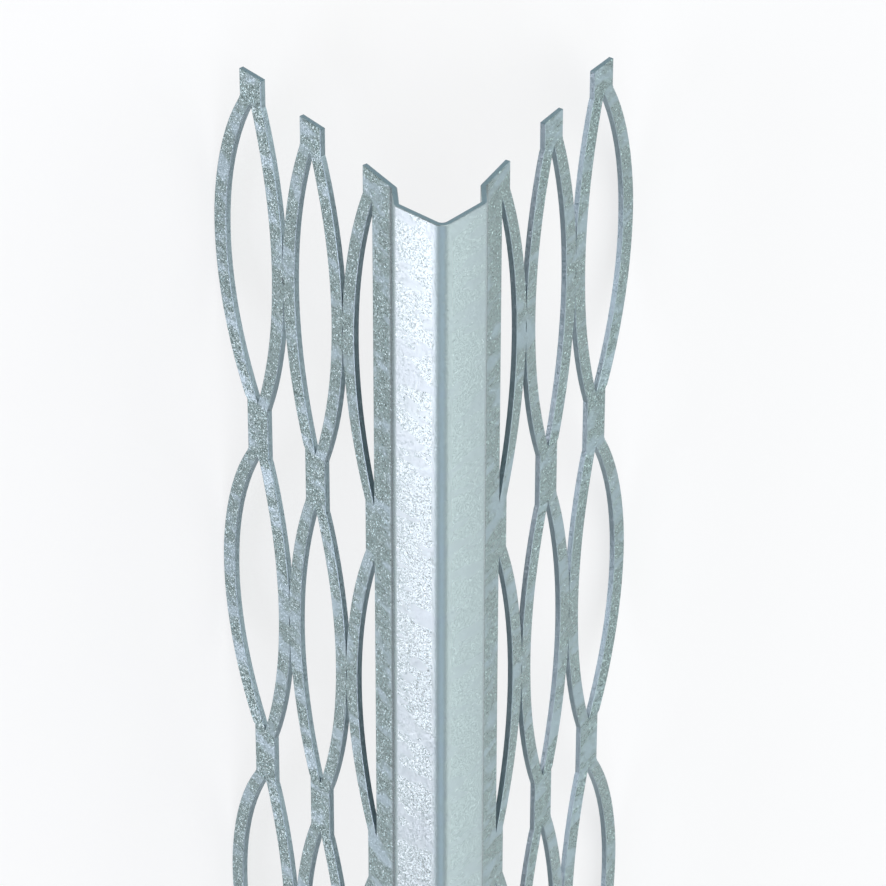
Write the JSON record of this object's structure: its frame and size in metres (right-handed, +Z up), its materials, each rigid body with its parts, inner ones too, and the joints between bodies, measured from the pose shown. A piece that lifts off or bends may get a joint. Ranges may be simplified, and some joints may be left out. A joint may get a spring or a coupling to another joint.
{
  "type": "corner bead",
  "caption": "Galvanised steel corner bead: a folded V nose with a slit and expanded mesh wing on each side, bedded in plaster to form a straight outside corner.",
  "frame": {"origin": "centre of the bounding box in plan, at floor level, under the wings' outer edges", "axes": "+Y along the strip towards the end that the picture shows, +Z up through the nose, +X across the wings"},
  "size_m": [0.0356, 2.5, 0.0292],
  "materials": {
    "galvanised_steel": "hot-dip galvanised, spangled"
  },
  "bodies": {
    "root": {"corner_bead": "galvanised_steel"}
  },
  "joints": []
}
